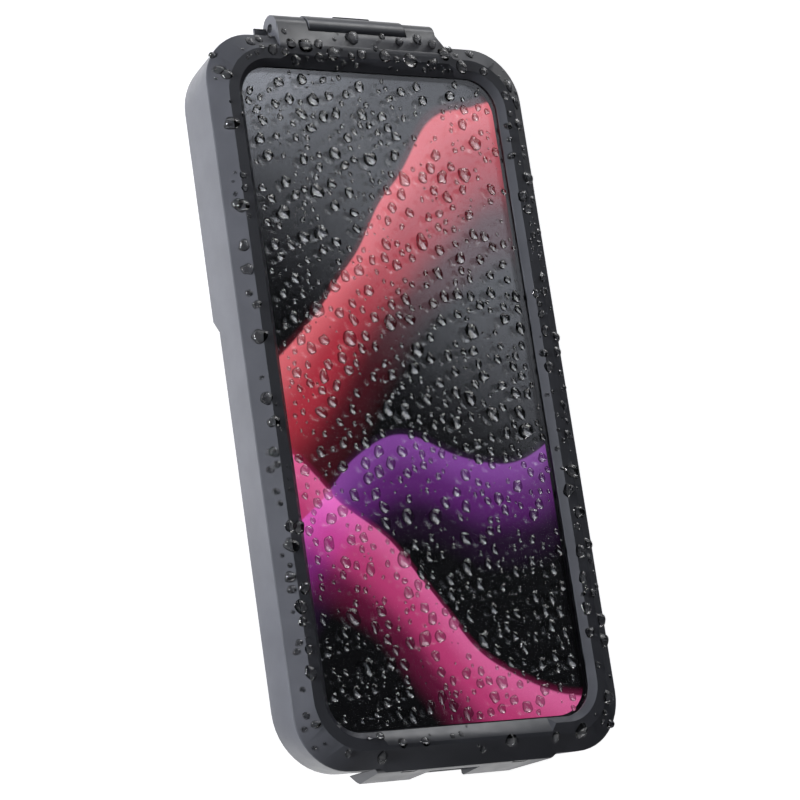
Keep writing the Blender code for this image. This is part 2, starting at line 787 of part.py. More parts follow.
def back_pad(frame, finish):
    """The foam that the handset lies on in the shallow end."""
    low_y = -(BAY_HALF_L - PAD_MARGIN)
    high_y = CAMERA_STEP_Y - CAMERA_STEP_RAMP - PAD_MARGIN
    size = (2 * (BAY_HALF_W - PAD_MARGIN), high_y - low_y)
    low = Z_FLOOR + GLUE
    span = (low, low + BACK_PAD_T)
    return plate("back_pad", frame, size, span, PAD_R, (0.0, (low_y + high_y) / 2), finish)


def camera_pad(frame, finish):
    """The foam frame round the camera opening in the deep end."""
    low_y = CAMERA_STEP_Y + PAD_MARGIN / 2
    high_y = BAY_HALF_L - PAD_MARGIN / 2
    outer = (BAY_HALF_W - PAD_MARGIN, (high_y - low_y) / 2, PAD_R, (low_y + high_y) / 2)
    inner = (
        CAMERA_W / 2 + CAMERA_LAP,
        CAMERA_L / 2 + CAMERA_LAP,
        CAMERA_R + CAMERA_LAP,
        CAMERA_Y,
    )
    low = Z_DEEP_FLOOR + GLUE
    high = Z_PHONE_BACK - GLUE
    bm = bmesh.new()
    loops = []
    for (half_w, half_l, radius, y), z in (
        (outer, low),
        (outer, high),
        (inner, high),
        (inner, low),
    ):
        loops.append(rounded_loop(bm, half_w, half_l, radius, z, (0.0, y)))
    lofted_ring(bm, loops)
    return finish_mesh(bm, "camera_pad", frame, finish)


def seal_gasket(frame, finish):
    """The seal in the rim's groove, with a crowned top."""
    low = Z_RIM - GROOVE_D + GLUE
    inner = GROOVE_INSET + FIT_GAP
    outer = GROOVE_INSET + GROOVE_W - FIT_GAP
    crown = (outer - inner) / 4
    section = (
        (inner, low),
        (inner, Z_RIM - crown),
        (inner + crown, Z_RIM),
        (outer - crown, Z_RIM),
        (outer, Z_RIM - crown),
        (outer, low),
    )
    bm = bmesh.new()
    loops = [
        rounded_loop(bm, BAY_HALF_W + grow, BAY_HALF_L + grow, BAY_R + grow, z)
        for grow, z in section
    ]
    lofted_ring(bm, loops)
    return finish_mesh(bm, "seal_gasket", frame, finish)


def window_film(frame, finish):
    """The clear touch film under the window's ledge."""
    size = (WINDOW_W + 2 * FILM_LAP, WINDOW_L + 2 * FILM_LAP)
    return plate(
        "window_film", frame, size, (Z_FILM - FILM_T, Z_FILM), WINDOW_R + FILM_LAP, finish=finish
    )


def film_retainer(frame, finish):
    """The ring that clamps the film against the ledge from inside."""
    bm = bmesh.new()
    low = Z_RETAINER - RETAINER_T
    loops = []
    for grow, z in (
        (RETAINER_LIP, low),
        (RETAINER_LIP, Z_RETAINER),
        (FILM_LAP, Z_RETAINER),
        (FILM_LAP, low),
    ):
        loops.append(rounded_loop(bm, WINDOW_W / 2 + grow, WINDOW_L / 2 + grow, WINDOW_R + grow, z))
    lofted_ring(bm, loops)
    return finish_mesh(bm, "film_retainer", frame, finish)


def hinge_pin(frame, finish):
    """The pin through all three knuckles, its ends set back in the outer ones."""
    span = (HINGE_LEFT + HINGE_PIN_RECESS, HINGE_RIGHT - HINGE_PIN_RECESS)
    return rod_x("hinge_pin", frame, (HINGE_Y, HINGE_Z), HINGE_PIN_R, span, finish)


def latch_pin(frame, finish):
    """The thin pin through the ears and the lever's eyes."""
    half = EAR_X + EAR_W
    return rod_x("latch_pin", frame, (LATCH_Y, LATCH_Z), LATCH_PIN_R, (-half, half), finish)


def latch_lever(frame, finish):
    """The lever: a round eye along the pin, and two pads with a finger notch between them."""
    end_z = Z_RIM - LEVER_L
    inner_y = LEVER_FACE_Y + LEVER_T
    profile = arc((LATCH_Y, LATCH_Z), EYE_R, 0.0, 180.0, 2 * BARREL_STEPS)
    profile += [
        (LEVER_FACE_Y, end_z + LEVER_EDGE),
        (LEVER_FACE_Y + LEVER_EDGE, end_z),
        (inner_y, end_z),
        (inner_y, LATCH_Z - 2 * EYE_R),
        (LATCH_Y + EYE_R, LATCH_Z - EYE_R / 3),
    ]
    body = prism_x("latch_lever", frame, profile, (-LEVER_HALF, LEVER_HALF), finish)
    trim_lever(body, end_z)
    for side, name in ((-1, "ear_slot_left"), (1, "ear_slot_right")):
        cut(body, ear_slot(frame, name, side))
    cut(body, finger_notch(frame, end_z))
    cut(body, latch_bore("lever_pin_bore", frame))
    return body


def trim_lever(body, end_z):
    """Slant the lever's two sides outwards to its foot, and cut its right rear corner away."""
    foot_y = LEVER_FACE_Y + LEVER_T - BURY
    slant = Vector((LEVER_T, LEVER_SIDE_SLANT, 0.0))
    planes = [
        (Vector((side * LEVER_HALF, foot_y, 0.0)), Vector((side * slant.x, -slant.y, 0.0)))
        for side in (-1, 1)
    ]
    corner = Vector((LEVER_HALF - LEVER_CORNER_CUT, LEVER_FACE_Y, end_z))
    planes.append((corner, Vector((1.0, 0.0, -LEVER_CORNER_CUT / LEVER_L))))
    trim(body, planes)


def ear_slot(frame, name, side):
    """The round gap in the lever's eye where an ear of the cover sits."""
    half = EAR_W / 2 + FIT_GAP
    middle = side * EAR_X
    span = (middle - half, middle + half)
    return rod_x(name, frame, (LATCH_Y, LATCH_Z), EYE_R + FIT_GAP, span)


def finger_notch(frame, end_z):
    """The notch between the pads: a ramp on its left, a steep right wall, a sloped sill."""
    left = NOTCH_LEFT - NOTCH_RAMP
    out_y = LEVER_FACE_Y - LEVER_EDGE
    sill_y = LEVER_FACE_Y + SILL_IN
    in_y = LEVER_FACE_Y + 2 * LEVER_T
    top_z = LATCH_Z - EYE_R - LEVER_EDGE
    profile = (
        (out_y, end_z - MM),
        (sill_y, end_z - MM),
        (sill_y, end_z + SILL_H),
        (in_y, end_z + SILL_H + in_y - sill_y),
        (in_y, top_z),
        (out_y, top_z),
    )
    notch = prism_x("finger_notch", frame, profile, (left, NOTCH_RIGHT))
    deep = LEVER_T + BURY + LEVER_EDGE
    trim(notch, [(Vector((left, out_y, 0.0)), Vector((-deep, NOTCH_RAMP, 0.0)))])
    return notch


def handset_body(frame, finish):
    """The handset's body: rounded edges, a pocket for display and glass, a camera island."""
    rim_z = Z_PHONE - GLUE
    front_r = PHONE_RIM / 2
    pocket_z = Z_PHONE - PHONE_GLASS_T - PHONE_DISPLAY_T - 3 * GLUE
    bm = bmesh.new()
    loops = []

    def level(inset, z):
        half_w = PHONE_W / 2 - inset
        half_l = PHONE_L / 2 - inset
        loops.append(rounded_loop(bm, half_w, half_l, PHONE_R - inset, z))

    for step in range(FILLET_STEPS, -1, -1):
        angle = radians(90.0 * step / FILLET_STEPS)
        level(PHONE_EDGE_R * (1 - cos(angle)), Z_PHONE_BACK + PHONE_EDGE_R * (1 - sin(angle)))
    for step in range(FILLET_STEPS + 1):
        angle = radians(90.0 * step / FILLET_STEPS)
        level(front_r * (1 - cos(angle)), rim_z - front_r * (1 - sin(angle)))
    level(PHONE_RIM, rim_z)
    level(PHONE_RIM, pocket_z)
    lofted_slab(bm, loops)
    body = finish_mesh(bm, "handset_body", frame, finish)
    span = (Z_PHONE_BACK - ISLAND_H, Z_PHONE_BACK + GLUE)
    island = plate(
        "camera_island", frame, (ISLAND, ISLAND), span, ISLAND_R, island_centre()
    )
    join(body, island)
    return body


def island_centre():
    """Middle of the camera island, over the camera window."""
    return (PHONE_W / 2 - ISLAND_EDGE - ISLAND / 2, CAMERA_Y)


def handset_glass(frame, finish):
    """The handset's cover glass."""
    inset = PHONE_RIM + GLUE
    size = (PHONE_W - 2 * inset, PHONE_L - 2 * inset)
    span = (Z_PHONE - PHONE_GLASS_T, Z_PHONE)
    return plate("handset_glass", frame, size, span, PHONE_R - inset, finish=finish)


def handset_display(frame, finish):
    """The lit panel under the glass."""
    high = Z_PHONE - PHONE_GLASS_T - GLUE
    span = (high - PHONE_DISPLAY_T, high)
    return plate("handset_display", frame, (DISPLAY_W, DISPLAY_L), span, WINDOW_R, finish=finish)


def handset_lens(frame, name, sign, finish):
    """A camera lens on the island, with a stepped rim."""
    x, y = island_centre()
    top = Z_PHONE_BACK - ISLAND_H - GLUE
    rim_r = LENS_R - LENS_RIM_W
    profile = (
        (0.0, top),
        (LENS_R, top),
        (LENS_R, top - LENS_H),
        (rim_r, top - LENS_H),
        (rim_r - LENS_RIM_SLOPE, top - LENS_H / 2),
        (0.0, top - LENS_H / 2),
    )
    return turned(name, frame, (x - sign * LENS_OFF, y + sign * LENS_OFF), profile, finish)


def main():
    clear_scene()
    charcoal = material("charcoal_plastic", (0.045, 0.046, 0.05), 0.55)
    black = material("black_plastic", (0.02, 0.02, 0.022), 0.45)
    rubber = material("seal_rubber", (0.03, 0.03, 0.032), 0.8)
    foam = material("pad_foam", (0.05, 0.05, 0.052), 0.95)
    clear = material("clear_film", (0.8, 0.82, 0.84), 0.05, alpha=0.2)
    steel = material("pin_steel", (0.55, 0.55, 0.56), 0.3, metallic=1.0)
    phone_metal = material("handset_metal", (0.05, 0.05, 0.06), 0.35, metallic=0.6)
    phone_glass = material("handset_glass", (0.02, 0.02, 0.025), 0.03, alpha=0.2)
    panel = material("display_panel", (0.45, 0.06, 0.14), 0.2)

    case = empty("window_centre", (0.0, 0.0, 0.0))
    cover = empty("cover_hinge_axis", (0.0, HINGE_Y, HINGE_Z), case)
    lever = empty("latch_lever_axis", (0.0, LATCH_Y, LATCH_Z), cover)

    back_shell(case, charcoal)
    seal_gasket(case, rubber)
    lock_socket(case, black)
    for i in range(SCREW_COUNT):
        socket_screw(case, i, steel)
    camera_window(case, clear)
    back_pad(case, foam)
    camera_pad(case, foam)
    hinge_pin(case, steel)

    cover_frame(cover, charcoal)
    window_film(cover, clear)
    film_retainer(cover, black)
    latch_pin(cover, steel)
    latch_lever(lever, charcoal)

    handset_body(case, phone_metal)
    handset_glass(case, phone_glass)
    handset_display(case, panel)
    handset_lens(case, "handset_lens_1", 1, phone_glass)
    handset_lens(case, "handset_lens_2", -1, phone_glass)


main()
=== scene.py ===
# %% [markdown]
# # A phone case in the rain
# This lesson dresses a hinged, weatherproof phone case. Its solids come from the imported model:
# a rear shell, a cover with a clear window, a lever latch and a handset in the bay. Each solid
# is already in its place, in metres, with +Z out of the window and +Y towards the hinge. The
# lesson adds what a mould, a rainy day and a lit display add to such a case.

import json
import random
from math import atan2, cos, pi, radians

import bmesh
import bpy
from mathutils import Matrix, Vector
from mathutils.bvhtree import BVHTree

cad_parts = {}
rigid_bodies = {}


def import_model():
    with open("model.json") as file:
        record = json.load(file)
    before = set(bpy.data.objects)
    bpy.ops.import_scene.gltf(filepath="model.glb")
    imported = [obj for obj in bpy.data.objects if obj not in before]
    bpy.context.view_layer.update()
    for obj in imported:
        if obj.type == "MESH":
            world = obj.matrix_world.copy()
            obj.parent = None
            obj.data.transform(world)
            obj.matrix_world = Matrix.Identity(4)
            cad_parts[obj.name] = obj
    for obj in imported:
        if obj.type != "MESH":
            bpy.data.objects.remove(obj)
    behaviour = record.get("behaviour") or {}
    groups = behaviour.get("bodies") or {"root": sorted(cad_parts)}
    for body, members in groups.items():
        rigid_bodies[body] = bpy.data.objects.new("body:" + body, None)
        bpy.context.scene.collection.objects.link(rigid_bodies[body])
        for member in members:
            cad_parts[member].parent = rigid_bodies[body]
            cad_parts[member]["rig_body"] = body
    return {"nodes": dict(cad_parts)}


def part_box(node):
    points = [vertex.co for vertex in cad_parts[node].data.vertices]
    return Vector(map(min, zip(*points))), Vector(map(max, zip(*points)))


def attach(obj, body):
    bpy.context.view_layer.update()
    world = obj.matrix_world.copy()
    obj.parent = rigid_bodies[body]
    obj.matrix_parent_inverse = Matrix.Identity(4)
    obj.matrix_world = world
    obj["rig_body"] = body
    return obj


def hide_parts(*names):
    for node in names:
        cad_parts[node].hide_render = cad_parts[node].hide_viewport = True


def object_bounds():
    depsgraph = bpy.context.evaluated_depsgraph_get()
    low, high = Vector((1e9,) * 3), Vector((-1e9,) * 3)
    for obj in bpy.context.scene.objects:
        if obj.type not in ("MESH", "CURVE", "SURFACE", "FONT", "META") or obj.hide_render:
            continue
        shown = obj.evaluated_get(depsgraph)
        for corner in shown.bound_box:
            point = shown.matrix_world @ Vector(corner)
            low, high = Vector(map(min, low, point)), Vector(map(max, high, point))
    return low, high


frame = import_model()
CAD_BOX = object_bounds()
MM = 0.001
print("nodes:", ", ".join(sorted(frame["nodes"])))
print("box in mm:", [round(v / MM, 1) for corner in CAD_BOX for v in corner])

# %% [markdown]
# ## The camera
# The case lies on its back, and the camera looks down on it over its left side, from two
# thirds of a metre away through a long lens, so the case's edges hardly converge. A camera is
# turned by three directions at right angles: its right, its up and its back. The back direction
# runs from the target to the camera, and PICTURE_UP says which way on the object is up in the
# picture, so two cross products give the rest.

# %% Place the camera
CAMERA_PLACE = Vector((-0.3558, -0.14555, 0.5530))
CAMERA_TARGET = Vector((-0.0039, -0.00465, 0.0143))
PICTURE_UP = Vector((0.0073, 0.9662, 0.2576))
CAMERA_LENS = 128.05


def place_camera():
    camera = bpy.data.objects.new("camera", bpy.data.cameras.new("camera"))
    camera.data.lens = CAMERA_LENS
    back = (CAMERA_PLACE - CAMERA_TARGET).normalized()
    right = PICTURE_UP.cross(back).normalized()
    up = back.cross(right)
    turn = Matrix((right, up, back)).transposed().to_4x4()
    camera.matrix_world = Matrix.Translation(CAMERA_PLACE) @ turn
    bpy.context.scene.collection.objects.link(camera)
    bpy.context.scene.camera = camera


place_camera()
print("camera to target:", round((CAMERA_PLACE - CAMERA_TARGET).length, 3), "m")

# %% [markdown]
# ## Small helpers for node trees
# Every finish here is a node tree, and most of them do a little arithmetic on the point that
# is being shaded. These helpers add one node each and return its output, so a finish can be
# written as a few lines that read like a formula. Points are read in Object coordinates, which
# for these pieces are metres in the frame of the whole case.

# %% Helpers for node trees
def new_finish(name):
    """A node material: its tree and its Principled shader."""
    material = bpy.data.materials.new(name)
    material.use_nodes = True
    return material, material.node_tree, material.node_tree.nodes["Principled BSDF"]


def feed(tree, socket, value):
    """Links an output to a socket, or sets the socket to a plain value."""
    if isinstance(value, bpy.types.NodeSocket):
        tree.links.new(value, socket)
    else:
        socket.default_value = value


def maths(tree, operation, first, second=0.0, third=0.0):
    node = tree.nodes.new("ShaderNodeMath")
    node.operation = operation
    feed(tree, node.inputs[0], first)
    feed(tree, node.inputs[1], second)
    feed(tree, node.inputs[2], third)
    return node.outputs[0]


def object_point(tree):
    return tree.nodes.new("ShaderNodeTexCoord").outputs["Object"]


def grain(tree, per_metre, detail=2.0, roughness=0.5):
    """Noise with so many waves to the metre, from 0 to 1."""
    node = tree.nodes.new("ShaderNodeTexNoise")
    node.inputs["Scale"].default_value = per_metre
    node.inputs["Detail"].default_value = detail
    node.inputs["Roughness"].default_value = roughness
    tree.links.new(object_point(tree), node.inputs["Vector"])
    return node.outputs["Fac"]


def stretch(tree, value, low, high, new_low, new_high, smooth=False):
    """Maps a value from one range to another, and holds it there."""
    node = tree.nodes.new("ShaderNodeMapRange")
    node.interpolation_type = "SMOOTHSTEP" if smooth else "LINEAR"
    feed(tree, node.inputs["Value"], value)
    node.inputs["From Min"].default_value = low
    node.inputs["From Max"].default_value = high
    node.inputs["To Min"].default_value = new_low
    node.inputs["To Max"].default_value = new_high
    return node.outputs["Result"]


def blend_colours(tree, amount, first, second, mode="MIX"):
    node = tree.nodes.new("ShaderNodeMix")
    node.data_type = "RGBA"
    node.blend_type = mode
    feed(tree, node.inputs["Factor"], amount)
    feed(tree, node.inputs["A"], first)
    feed(tree, node.inputs["B"], second)
    return node.outputs["Result"]


def roughen(tree, shader, height, depth):
    """A bump of the given real depth, from a height between 0 and 1."""
    bump = tree.nodes.new("ShaderNodeBump")
    bump.inputs["Strength"].default_value = 1.0
    bump.inputs["Distance"].default_value = depth
    tree.links.new(height, bump.inputs["Height"])
    tree.links.new(bump.outputs["Normal"], shader.inputs["Normal"])


print("helpers ready")

# %% [markdown]
# ## The moulded plastic
# The shell, the cover and the lever are moulded in a charcoal plastic. A mould is spark-eroded,
# so its parts have a fine, even grain that turns the shine into a broad sheen. Two noises make
# it: a very fine one is the grain, and a wide, faint one keeps large faces from looking drawn.
# The shine is kept below that of a polished plastic. The same recipe with other numbers gives
# the black plastic of the socket and the window's ring.

# %% Moulded plastics
PLASTIC_SHINE = 0.35
MOTTLE_DARKER = 0.88
SHEEN_SPREAD = 0.04


def moulded(name, colour, roughness, grain_per_metre, grain_depth):
    material, tree, shader = new_finish(name)
    darker = [channel * MOTTLE_DARKER for channel in colour]
    mottle = stretch(tree, grain(tree, 90.0, 3.0), 0.35, 0.65, 0.0, 1.0, smooth=True)
    tint = blend_colours(tree, mottle, (*darker, 1.0), (*colour, 1.0))
    tree.links.new(tint, shader.inputs["Base Color"])
    sheen = (roughness - SHEEN_SPREAD, roughness + SHEEN_SPREAD)
    patchy = stretch(tree, grain(tree, 260.0), 0.3, 0.7, *sheen)
    tree.links.new(patchy, shader.inputs["Roughness"])
    shader.inputs["Specular IOR Level"].default_value = PLASTIC_SHINE
    roughen(tree, shader, grain(tree, grain_per_metre, 3.0, 0.6), grain_depth)
    return material


CHARCOAL = moulded("charcoal_plastic_finish", (0.074, 0.076, 0.087), 0.33, 3200.0, 0.00001)
BLACK = moulded("black_plastic_finish", (0.016, 0.016, 0.018), 0.38, 2600.0, 0.00003)
print("plastics:", CHARCOAL.name, BLACK.name)

# %% [markdown]
# ## Rubber, foam and metals
# The seal is a smooth silicone ring, so it is almost plain. The pads are closed-cell foam,
# whose cut cells show as tiny round pits: a Voronoi texture is just such a field of cells. Each
# pit is also painted darker towards its bottom, as painted shade. The pins and screws are plain
# bright steel, and the handset's body is dark anodised metal. Both have fine straight lines,
# which are noise drawn out along one axis.

# %% Rubber, foam and metals
def silicone():
    material, tree, shader = new_finish("seal_rubber_finish")
    tone = stretch(tree, grain(tree, 400.0), 0.3, 0.7, 0.0, 1.0)
    tint = blend_colours(tree, tone, (0.022, 0.022, 0.024, 1.0), (0.032, 0.032, 0.034, 1.0))
    tree.links.new(tint, shader.inputs["Base Color"])
    shader.inputs["Roughness"].default_value = 0.55
    roughen(tree, shader, grain(tree, 1500.0), 0.00002)
    return material


def foam():
    material, tree, shader = new_finish("pad_foam_finish")
    cells = tree.nodes.new("ShaderNodeTexVoronoi")
    cells.inputs["Scale"].default_value = 2200.0
    tree.links.new(object_point(tree), cells.inputs["Vector"])
    pit_and_shade = stretch(tree, cells.outputs["Distance"], 0.1, 0.6, 0.0, 1.0, smooth=True)
    # Painted shade: the foam is darker at the bottom of each pit; the bump below gives the real
    # depth.
    tint = blend_colours(tree, pit_and_shade, (0.020, 0.020, 0.021, 1.0), (0.062, 0.062, 0.064, 1.0))
    tree.links.new(tint, shader.inputs["Base Color"])
    shader.inputs["Roughness"].default_value = 0.9
    roughen(tree, shader, pit_and_shade, 0.00012)
    return material


def metal(name, colour, roughness, scratch_per_metre):
    """Metal with fine lines along X, the way that the pins run."""
    material, tree, shader = new_finish(name)
    mapping = tree.nodes.new("ShaderNodeMapping")
    mapping.inputs["Scale"].default_value = (0.08, 1.0, 1.0)
    tree.links.new(object_point(tree), mapping.inputs["Vector"])
    scratches = tree.nodes.new("ShaderNodeTexNoise")
    scratches.inputs["Scale"].default_value = scratch_per_metre
    scratches.inputs["Detail"].default_value = 3.0
    tree.links.new(mapping.outputs["Vector"], scratches.inputs["Vector"])
    line = scratches.outputs["Fac"]
    worn = stretch(tree, line, 0.3, 0.7, roughness - 0.06, roughness + 0.08)
    tree.links.new(worn, shader.inputs["Roughness"])
    tint = blend_colours(tree, line, (*[c * 0.8 for c in colour], 1.0), (*colour, 1.0))
    tree.links.new(tint, shader.inputs["Base Color"])
    shader.inputs["Metallic"].default_value = 1.0
    roughen(tree, shader, line, 0.00001)
    return material


RUBBER = silicone()
FOAM = foam()
STEEL = metal("pin_steel_finish", (0.58, 0.58, 0.59), 0.26, 4000.0)
ANODISED = metal("handset_metal_finish", (0.045, 0.046, 0.055), 0.36, 6000.0)
print("made", RUBBER.name, FOAM.name, STEEL.name, ANODISED.name)

# %% [markdown]
# ## Clear pieces
# The window is a clear film with a slight ripple, as a thin sheet never lies quite flat. The
# handset's own glass is flat and polished. Both are Principled shaders with full transmission:
# light bends by the index of refraction and shines by it too. What is the same all over is set
# on the shader's own sockets.

# %% Clear materials
FILM_IOR = 1.49
GLASS_IOR = 1.45


def clear(name, colour, roughness, ior, ripple_per_metre=0.0, ripple_depth=0.0):
    material, tree, shader = new_finish(name)
    shader.inputs["Base Color"].default_value = (*colour, 1.0)
    shader.inputs["Roughness"].default_value = roughness
    shader.inputs["Transmission Weight"].default_value = 1.0
    shader.inputs["IOR"].default_value = ior
    if ripple_depth:
        roughen(tree, shader, grain(tree, ripple_per_metre, 1.0), ripple_depth)
    return material


FILM = clear("clear_plastic_finish", (0.97, 0.975, 0.985), 0.02, FILM_IOR, 30.0, 0.00001)
GLASS = clear("handset_glass_finish", (0.98, 0.985, 0.99), 0.0, GLASS_IOR, 20.0, 0.000004)
print("clear:", FILM.name, GLASS.name)

# %% [markdown]
# ## Water
# Water is as clear as glass, with a lower index. What shows a drop is its foot: the steep part
# there bends the dark things around it into view, as a thin dark line. A tint paints that line
# in as painted shade: the water is darker at the foot of a bead and clearer above, and it
# follows an attribute that every vertex of a bead will carry, which says how high it stands.
# A drop on dark plastic looks nearly black, so the frame's water gets a deeper painted shade
# all over, darker than the window's.

# %% Water
WATER_IOR = 1.333
RISE = "rise"
PAINTED_FOOT_SHADE = (0.05, 0.45)


def water(name, rim, body):
    """Water with painted shade: rim and body are how much light it lets through at its foot and above
    it.
    """
    material, tree, shader = new_finish(name)
    rise = tree.nodes.new("ShaderNodeAttribute")
    rise.attribute_name = RISE
    amount = stretch(tree, rise.outputs["Fac"], *PAINTED_FOOT_SHADE, 0.0, 1.0, smooth=True)
    # Painted shade: the foot of each bead is tinted darker than its body, to draw its dark rim.
    tint = blend_colours(tree, amount, (rim, rim, rim, 1.0), (body, body, body, 1.0))
    tree.links.new(tint, shader.inputs["Base Color"])
    shader.inputs["Roughness"].default_value = 0.0
    shader.inputs["Transmission Weight"].default_value = 1.0
    shader.inputs["IOR"].default_value = WATER_IOR
    roughen(tree, shader, grain(tree, 1100.0, 1.0), 0.00002)
    return material


CLEAR_WATER = water("water_finish", 0.30, 1.0)
# The frame's drops get painted shade all over, darker than the window's, so they read as nearly
# black.
SHADE_PAINTED_WATER = water("frame_water_painted_shade_finish", 0.04, 0.42)
print("water:", CLEAR_WATER.name, SHADE_PAINTED_WATER.name)

# %% [markdown]
# ## The camera lenses
# The lenses of the handset's own cameras are dark and coated. The dark body is a nearly black
# base, and the coat is the shader's own clear layer with a faint violet tint.

# %% Coated lenses
def coated_lens():
    material, tree, shader = new_finish("lens_glass_finish")
    tone = stretch(tree, grain(tree, 300.0, 1.0), 0.3, 0.7, 0.0, 1.0)
    tint = blend_colours(tree, tone, (0.004, 0.004, 0.007, 1.0), (0.010, 0.008, 0.016, 1.0))
    tree.links.new(tint, shader.inputs["Base Color"])
    shader.inputs["Roughness"].default_value = 0.05
    shader.inputs["Coat Weight"].default_value = 1.0
    shader.inputs["Coat Tint"].default_value = (0.75, 0.7, 1.0, 1.0)
    return material


LENS = coated_lens()
print("lens:", LENS.name)

# %% [markdown]
# ## The lit display
# A display glows, so its colour goes into the emission. The design is a plain one: three silk
# ribbons on black, crimson, violet and pink. Each ribbon follows a wavy line across the panel.
# The height above that line, divided by the ribbon's width, runs through a colour ramp that is
# black below, swells slowly to its full colour and ends in a crisp, lighter fold. Noise bends
# the line a little, so that the folds look like cloth and not like a drawn wave.

# %% The lit display
DISPLAY_LOW, DISPLAY_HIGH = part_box("handset_display")
DISPLAY_MIDDLE = (DISPLAY_LOW + DISPLAY_HIGH) / 2
DISPLAY_HALF = (DISPLAY_HIGH.x - DISPLAY_LOW.x) / 2


def ribbon(tree, across, along, line, colours, width):
    """One ribbon: line is (height, slope, swing, waves, phase), in half widths of the panel."""
    height, slope, swing, waves, phase = line
    wave = maths(tree, "SINE", maths(tree, "MULTIPLY_ADD", across, waves, phase))
    middle = maths(tree, "MULTIPLY_ADD", across, slope, height)
    middle = maths(tree, "MULTIPLY_ADD", wave, swing, middle)
    above = maths(tree, "DIVIDE", maths(tree, "SUBTRACT", along, middle), width)
    ramp = tree.nodes.new("ShaderNodeValToRGB")
    ramp.color_ramp.interpolation = "EASE"
    deep, full, fold = colours
    black = (0.0, 0.0, 0.0)
    stops = [(0.0, black), (0.28, deep), (0.62, full), (0.93, fold), (0.95, deep), (1.0, black)]
    marks = ramp.color_ramp.elements
    while len(marks) < len(stops):
        marks.new(0.5)
    for mark, (at, colour) in zip(marks, stops):
        mark.position = at
        mark.color = (*colour, 1.0)
    tree.links.new(above, ramp.inputs["Fac"])
    return ramp.outputs["Color"]


CRIMSON = [(0.05, 0.003, 0.007), (0.42, 0.030, 0.050), (0.78, 0.150, 0.180)]
VIOLET = [(0.012, 0.002, 0.018), (0.105, 0.015, 0.150), (0.230, 0.060, 0.330)]
PINK = [(0.10, 0.004, 0.030), (0.50, 0.045, 0.170), (0.72, 0.130, 0.330)]

RIBBONS = [
    ((-0.05, 0.75, 0.30, 2.1, 0.6), CRIMSON, 1.35),
    ((-1.25, 0.35, 0.22, 2.8, 2.4), VIOLET, 0.85),
    ((-2.30, -0.62, 0.25, 2.2, 3.6), PINK, 1.05),
]
DRIFT = 0.22


def lit_panel():
    material, tree, shader = new_finish("display_panel_finish")
    centre = tree.nodes.new("ShaderNodeMapping")
    centre.vector_type = "TEXTURE"
    centre.inputs["Location"].default_value = DISPLAY_MIDDLE
    centre.inputs["Scale"].default_value = (DISPLAY_HALF,) * 3
    tree.links.new(object_point(tree), centre.inputs["Vector"])
    split = tree.nodes.new("ShaderNodeSeparateXYZ")
    tree.links.new(centre.outputs["Vector"], split.inputs[0])
    across, along = split.outputs["X"], split.outputs["Y"]
    drift = stretch(tree, grain(tree, 28.0, 1.0), 0.0, 1.0, -DRIFT, DRIFT)
    along = maths(tree, "ADD", along, drift)
    glow = (0.0, 0.0, 0.0, 1.0)
    for line, colours, width in RIBBONS:
        silk = ribbon(tree, across, along, line, colours, width)
        glow = blend_colours(tree, 1.0, glow, silk, "ADD")
    shader.inputs["Base Color"].default_value = (0.004, 0.004, 0.005, 1.0)
    shader.inputs["Roughness"].default_value = 0.12
    tree.links.new(glow, shader.inputs["Emission Color"])
    shader.inputs["Emission Strength"].default_value = 1.0
    return material


PANEL = lit_panel()
print("display half width in mm:", round(DISPLAY_HALF / MM, 2))

# %% [markdown]
# ## Dressing the solids
# The imported solids are loose triangles with hard edges. On the real case every edge of the
# moulded and metal pieces is slightly rounded, and that thin bright line along an edge is what
# tells the eye that a thing is real. So each of these pieces gets a merged copy: its doubles are
# welded, its flat faces are joined up again, and on most of them a small bevel rounds every edge
# that turns by more than a set angle. The copy stands for the solid and rides on the same body.

# %% Dress the solids
SOFT_EDGE_ANGLE = 28.0
FLAT_ANGLE = 0.2
WELD = 0.002 * MM


def dressed(node, finish, edge):
    """A merged copy of a solid, in the solid's own place, with rounded edges where edge is not zero.
    """
    source = frame["nodes"][node]
    bm = bmesh.new()
    bm.from_mesh(source.data)
    bmesh.ops.remove_doubles(bm, verts=bm.verts, dist=WELD)
    bmesh.ops.dissolve_limit(bm, angle_limit=radians(FLAT_ANGLE), verts=bm.verts, edges=bm.edges)
    mesh = bpy.data.meshes.new(node + "_moulded")
    bm.to_mesh(mesh)
    bm.free()
    mesh.materials.clear()
    mesh.materials.append(finish)
    mesh.shade_smooth()
    mesh.set_sharp_from_angle(angle=radians(SOFT_EDGE_ANGLE))
    piece = bpy.data.objects.new(node + "_moulded", mesh)
    bpy.context.scene.collection.objects.link(piece)
    if edge:
        bevel = piece.modifiers.new("soft edges", "BEVEL")
        bevel.limit_method = "ANGLE"
        bevel.angle_limit = radians(SOFT_EDGE_ANGLE)
        bevel.width = edge
        bevel.segments = 2
        bevel.harden_normals = True
    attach(piece, source["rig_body"])
    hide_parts(node)
    return piece


